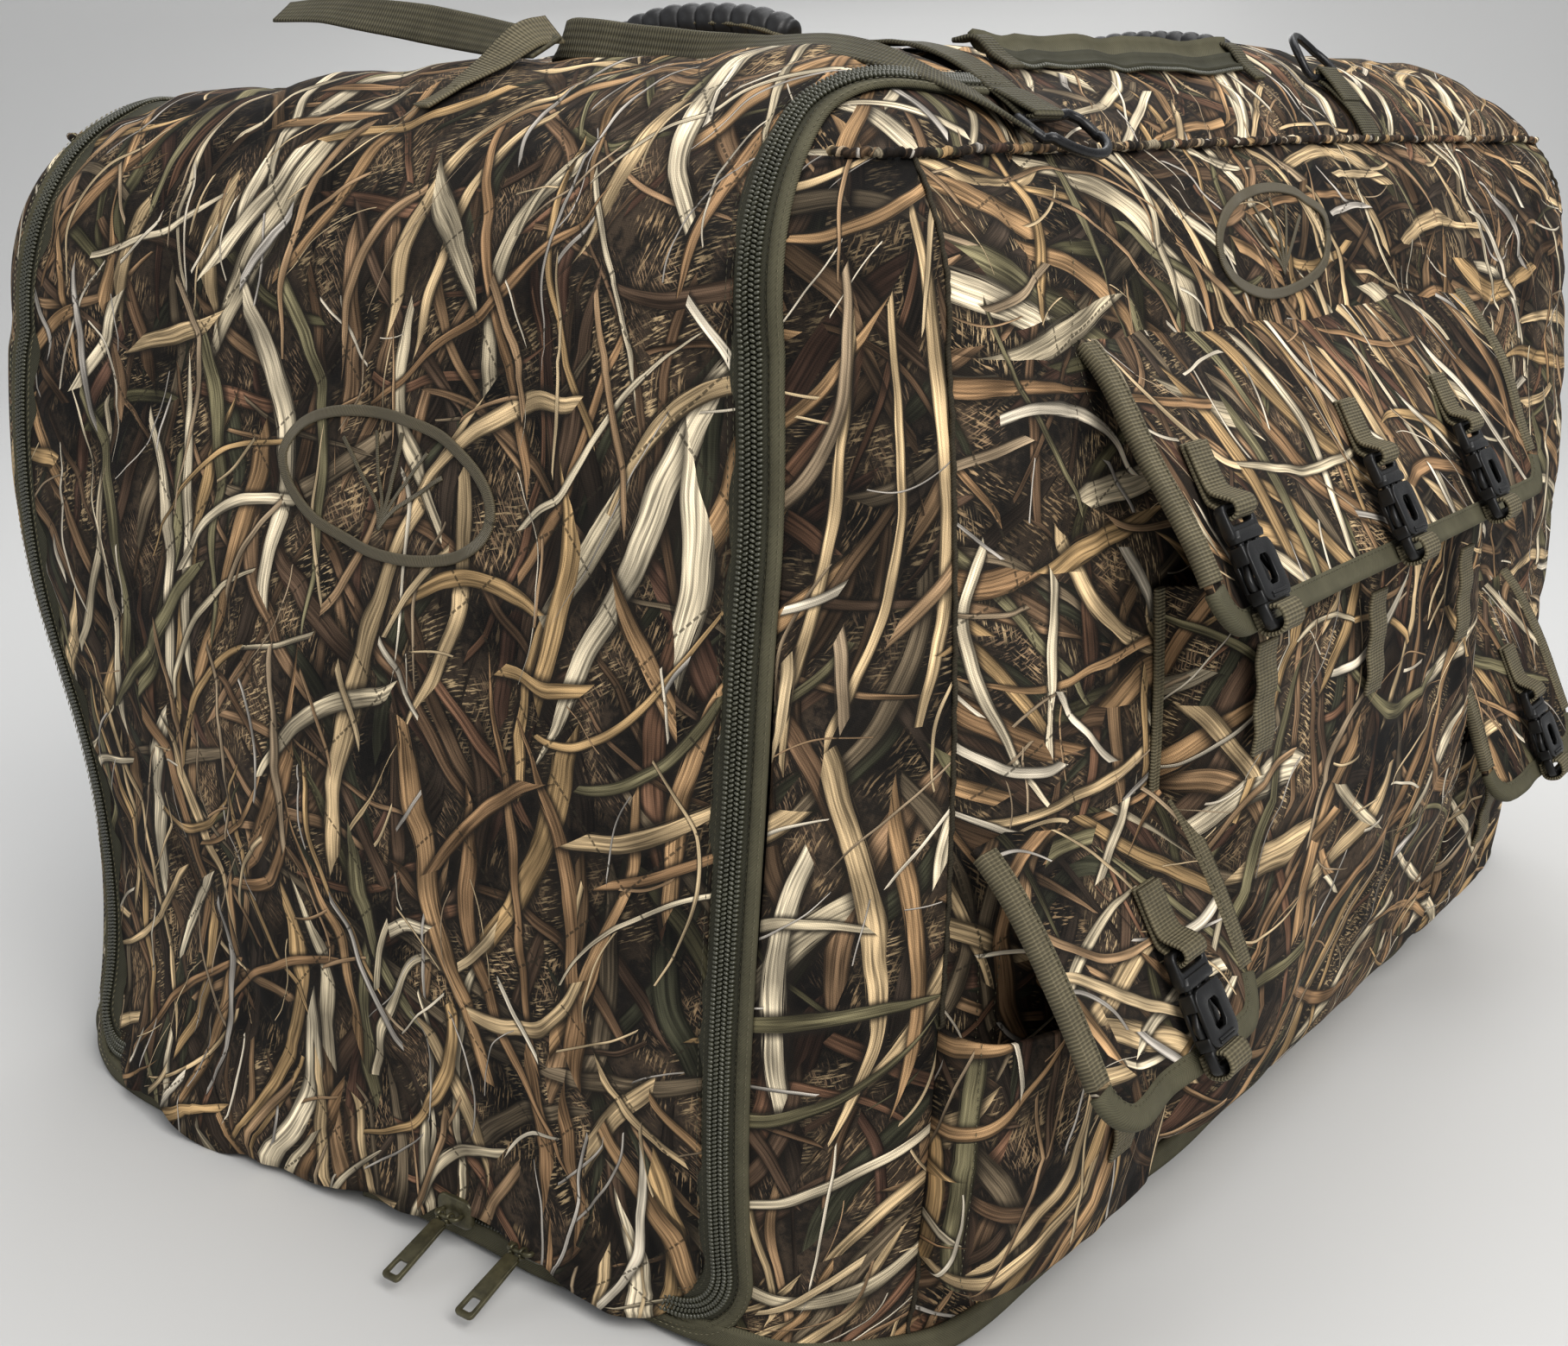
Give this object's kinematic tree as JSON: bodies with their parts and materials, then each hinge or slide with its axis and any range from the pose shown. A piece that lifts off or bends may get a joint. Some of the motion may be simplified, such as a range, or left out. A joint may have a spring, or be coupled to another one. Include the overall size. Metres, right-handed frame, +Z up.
{
  "type": "retriever field blind cover on a travel crate",
  "caption": "Camouflage quilted field blind for a retriever: soft cover with zip-out door, buckled pouches, D-rings and handles over a moulded crate.",
  "frame": {"origin": "centre of the crate's underside, on the ground", "axes": "+Z up, -Y out of the door end, +X out of the pocketed side"},
  "size_m": [0.7335, 0.9899, 0.6055],
  "materials": {
    "crate_plastic": "moulded, lightly textured",
    "nylon": "satin",
    "camo": "printed reed camouflage canvas, quilted",
    "olive_tape": "woven tape",
    "zipper_coil": "satin coil",
    "webbing": "ribbed webbing",
    "thread": "satin stitch",
    "buckle_plastic": "moulded acetal",
    "black_wire": "smooth, glossy",
    "slider_metal": "dark olive lacquer",
    "grip_wrap": "ridged foam wrap"
  },
  "bodies": {
    "cover_and_crate": {"crate_base": "crate_plastic", "crate_top": "crate_plastic", "crate_fasteners": "nylon", "top_panel": "camo", "side_panel_right": "camo", "side_panel_left": "camo", "rear_panel": "camo", "front_surround": "camo", "hem_binding": "olive_tape", "welt_piping": "camo", "surround_zipper_tape": "olive_tape", "surround_zipper_coil": "zipper_coil", "centre_pouch": "camo", "front_cargo_pocket": "camo", "rear_cargo_pocket": "camo", "pouch_anchor_webbing": "webbing", "side_emblem": "thread", "top_access_zipper": "olive_tape", "handle_anchor_webbing": "webbing", "d_ring_webbing": "webbing", "tie_straps": "webbing"},
    "front_door": {"front_flap": "camo", "flap_zipper_tape": "olive_tape", "flap_zipper_coil": "zipper_coil", "front_emblem": "thread"},
    "left_slider": {"left_zipper_slider": "slider_metal"},
    "left_pull": {"left_zipper_pull": "slider_metal"},
    "right_slider": {"right_zipper_slider": "slider_metal"},
    "right_pull": {"right_zipper_pull": "slider_metal"},
    "window_flap_body": {"window_flap": "camo", "window_flap_binding": "webbing", "window_flap_straps": "webbing", "window_buckle_males": "buckle_plastic"},
    "front_pocket_flap_body": {"front_pocket_flap": "camo", "front_pocket_flap_binding": "webbing", "front_pocket_flap_straps": "webbing", "front_pocket_buckle_males": "buckle_plastic"},
    "rear_pocket_flap_body": {"rear_pocket_flap": "camo", "rear_pocket_flap_binding": "webbing", "rear_pocket_flap_straps": "webbing", "rear_pocket_buckle_males": "buckle_plastic"},
    "window_female_1": {"window_1_buckle_female": "buckle_plastic", "window_1_buckle_loop": "webbing"},
    "window_female_2": {"window_2_buckle_female": "buckle_plastic", "window_2_buckle_loop": "webbing"},
    "window_female_3": {"window_3_buckle_female": "buckle_plastic", "window_3_buckle_loop": "webbing"},
    "front_pocket_female": {"front_pocket_buckle_female": "buckle_plastic", "front_pocket_buckle_loop": "webbing"},
    "rear_pocket_female": {"rear_pocket_buckle_female": "buckle_plastic", "rear_pocket_buckle_loop": "webbing"},
    "d_ring_body_1": {"d_ring_1": "black_wire"},
    "d_ring_body_2": {"d_ring_2": "black_wire"},
    "d_ring_body_3": {"d_ring_3": "black_wire"},
    "d_ring_body_4": {"d_ring_4": "black_wire"},
    "front_handle": {"front_handle_grip": "grip_wrap", "front_handle_webbing": "webbing"},
    "rear_handle": {"rear_handle_grip": "grip_wrap", "rear_handle_webbing": "webbing"}
  },
  "joints": [
    {"name": "front_door_lift", "type": "hinge", "parent": "cover_and_crate", "child": "front_door", "pos_m": [0, -0.31, 0.575], "axis": [-1, 0, 0], "range_deg": [0, 100]},
    {"name": "left_slider_run", "type": "slide", "parent": "front_door", "child": "left_slider", "axis": [1, 0, 0], "range_m": [-0.22, 0]},
    {"name": "right_slider_run", "type": "slide", "parent": "front_door", "child": "right_slider", "axis": [1, 0, 0], "range_m": [0, 0.04]},
    {"name": "left_pull_swing", "type": "hinge", "parent": "left_slider", "child": "left_pull", "pos_m": [0.07, -0.4724, 0.022], "axis": [-1, 0, 0], "range_deg": [0, 95]},
    {"name": "right_pull_swing", "type": "hinge", "parent": "right_slider", "child": "right_pull", "pos_m": [0.118, -0.4724, 0.022], "axis": [-1, 0, 0], "range_deg": [0, 95]},
    {"name": "window_flap_lift", "type": "hinge", "parent": "cover_and_crate", "child": "window_flap_body", "pos_m": [0.3165, 0, 0.443], "axis": [0, -1, 0], "range_deg": [0, 100]},
    {"name": "window_female_1_release", "type": "slide", "parent": "window_flap_body", "child": "window_female_1", "axis": [0.503, 0, -0.8643], "range_m": [0, 0.025]},
    {"name": "window_female_2_release", "type": "slide", "parent": "window_flap_body", "child": "window_female_2", "axis": [0.503, 0, -0.8643], "range_m": [0, 0.025]},
    {"name": "window_female_3_release", "type": "slide", "parent": "window_flap_body", "child": "window_female_3", "axis": [0.503, 0, -0.8643], "range_m": [0, 0.025]},
    {"name": "front_pocket_flap_lift", "type": "hinge", "parent": "cover_and_crate", "child": "front_pocket_flap_body", "pos_m": [0.332, 0, 0.25], "axis": [0, -1, 0], "range_deg": [0, 75]},
    {"name": "front_pocket_female_release", "type": "slide", "parent": "front_pocket_flap_body", "child": "front_pocket_female", "axis": [0.4848, 0, -0.8746], "range_m": [0, 0.025]},
    {"name": "rear_pocket_flap_lift", "type": "hinge", "parent": "cover_and_crate", "child": "rear_pocket_flap_body", "pos_m": [0.337, 0, 0.25], "axis": [0, -1, 0], "range_deg": [0, 75]},
    {"name": "rear_pocket_female_release", "type": "slide", "parent": "rear_pocket_flap_body", "child": "rear_pocket_female", "axis": [0.4384, 0, -0.8988], "range_m": [0, 0.025]},
    {"name": "d_ring_1_swing", "type": "hinge", "parent": "cover_and_crate", "child": "d_ring_body_1", "pos_m": [0.26908, -0.295, 0.54449], "axis": [0, -1, 0], "range_deg": [0, 110]},
    {"name": "d_ring_2_swing", "type": "hinge", "parent": "cover_and_crate", "child": "d_ring_body_2", "pos_m": [0.26908, 0.062, 0.54449], "axis": [0, -1, 0], "range_deg": [0, 110]},
    {"name": "d_ring_3_swing", "type": "hinge", "parent": "cover_and_crate", "child": "d_ring_body_3", "pos_m": [-0.26908, -0.295, 0.54449], "axis": [0, 1, 0], "range_deg": [0, 110]},
    {"name": "d_ring_4_swing", "type": "hinge", "parent": "cover_and_crate", "child": "d_ring_body_4", "pos_m": [-0.26908, 0.062, 0.54449], "axis": [0, 1, 0], "range_deg": [0, 110]},
    {"name": "front_handle_tip", "type": "hinge", "parent": "cover_and_crate", "child": "front_handle", "pos_m": [0, -0.19, 0.582], "axis": [1, 0, 0], "range_deg": [-30, 30]},
    {"name": "rear_handle_tip", "type": "hinge", "parent": "cover_and_crate", "child": "rear_handle", "pos_m": [0, 0.35, 0.582], "axis": [1, 0, 0], "range_deg": [-30, 30]}
  ]
}
